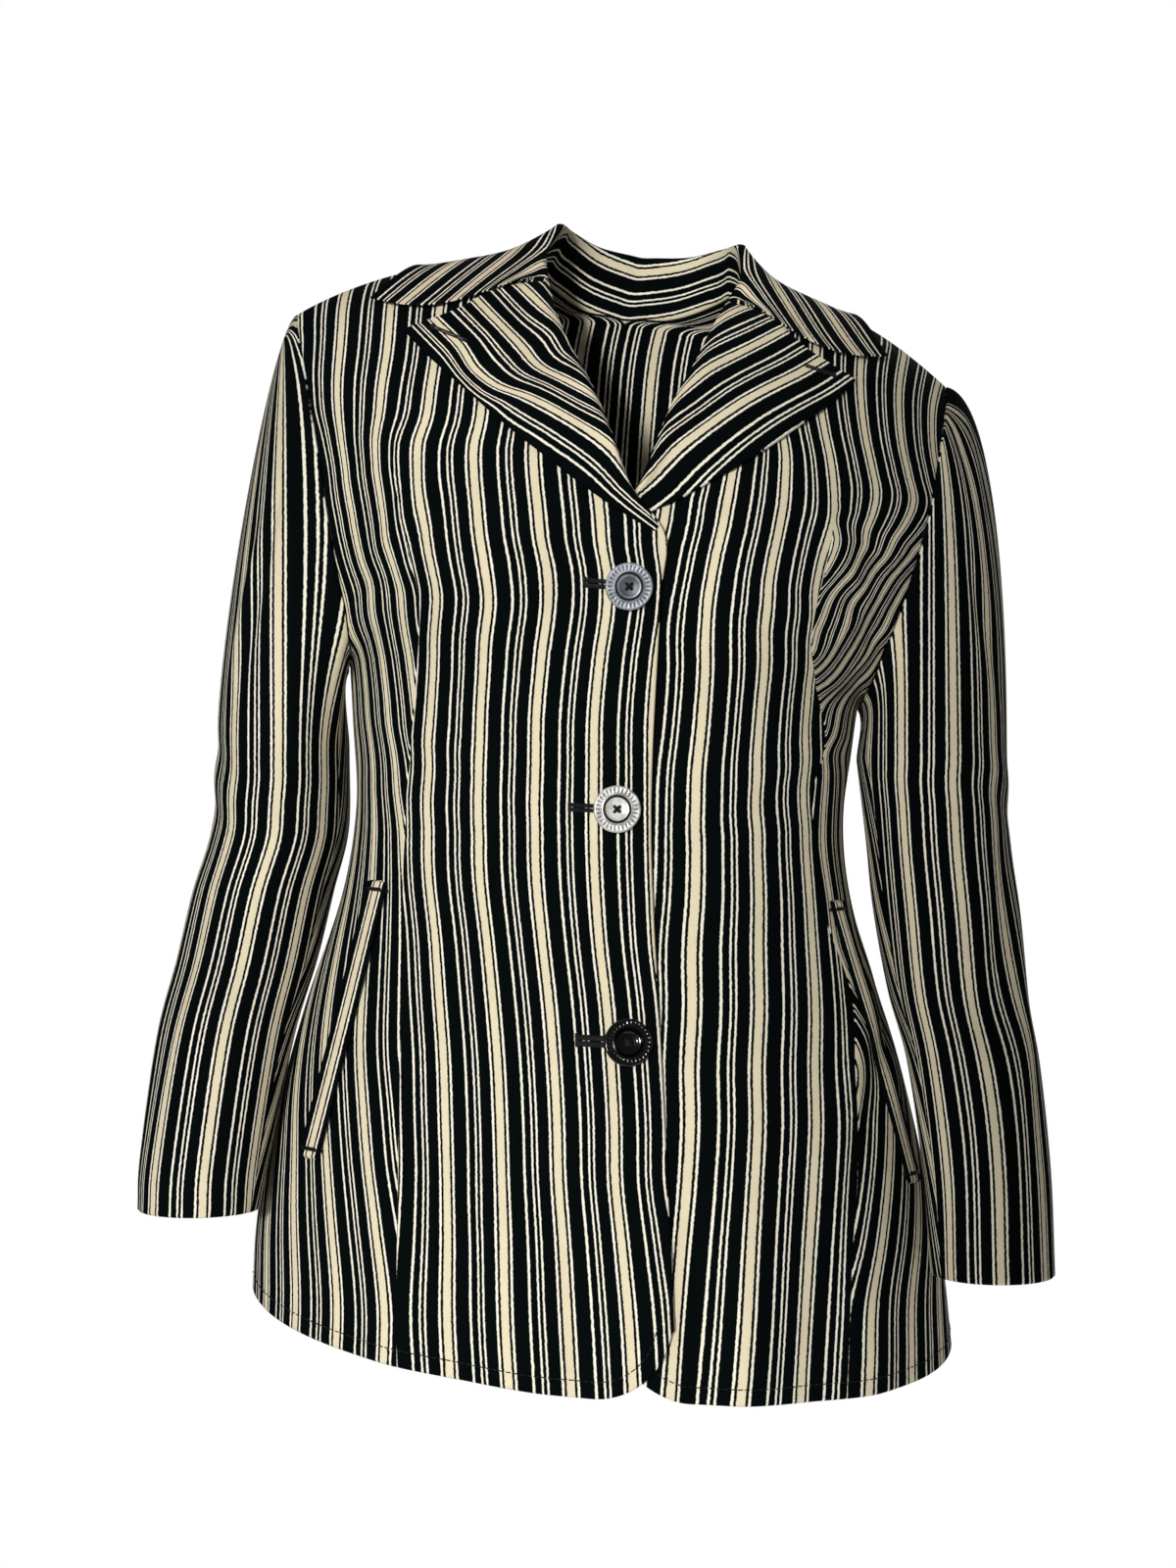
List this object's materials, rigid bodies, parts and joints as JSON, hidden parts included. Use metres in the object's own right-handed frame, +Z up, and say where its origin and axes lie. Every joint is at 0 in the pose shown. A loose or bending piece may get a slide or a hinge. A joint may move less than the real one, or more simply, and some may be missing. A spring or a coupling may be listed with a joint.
{
  "type": "women's single-breasted blazer, worn form",
  "caption": "Striped women's blazer kept in its hollow worn form, with wide pointed lapels, slanted welt pockets, bracelet sleeves and a curved hem.",
  "frame": {"origin": "between the shoulders, where the wearer holds the jacket up", "axes": "+Z up, -Y the way the front faces, +X towards the wearer's left"},
  "size_m": [0.4922, 0.2801, 0.6405],
  "materials": {
    "stripe_cloth": "matte crepe weave in cream and blue-black stripes",
    "button_pewter": "satin pewter",
    "button_silver": "polished, with dark recesses",
    "button_black": "gloss"
  },
  "bodies": {
    "root": {"front_right": "stripe_cloth", "front_left": "stripe_cloth", "back_right": "stripe_cloth", "back_left": "stripe_cloth", "sleeve_right": "stripe_cloth", "sleeve_left": "stripe_cloth", "lapel_right": "stripe_cloth", "lapel_left": "stripe_cloth", "collar": "stripe_cloth", "pocket_welt_right": "stripe_cloth", "pocket_welt_left": "stripe_cloth", "button_top": "button_pewter", "button_middle": "button_silver", "button_bottom": "button_black"}
  },
  "joints": []
}
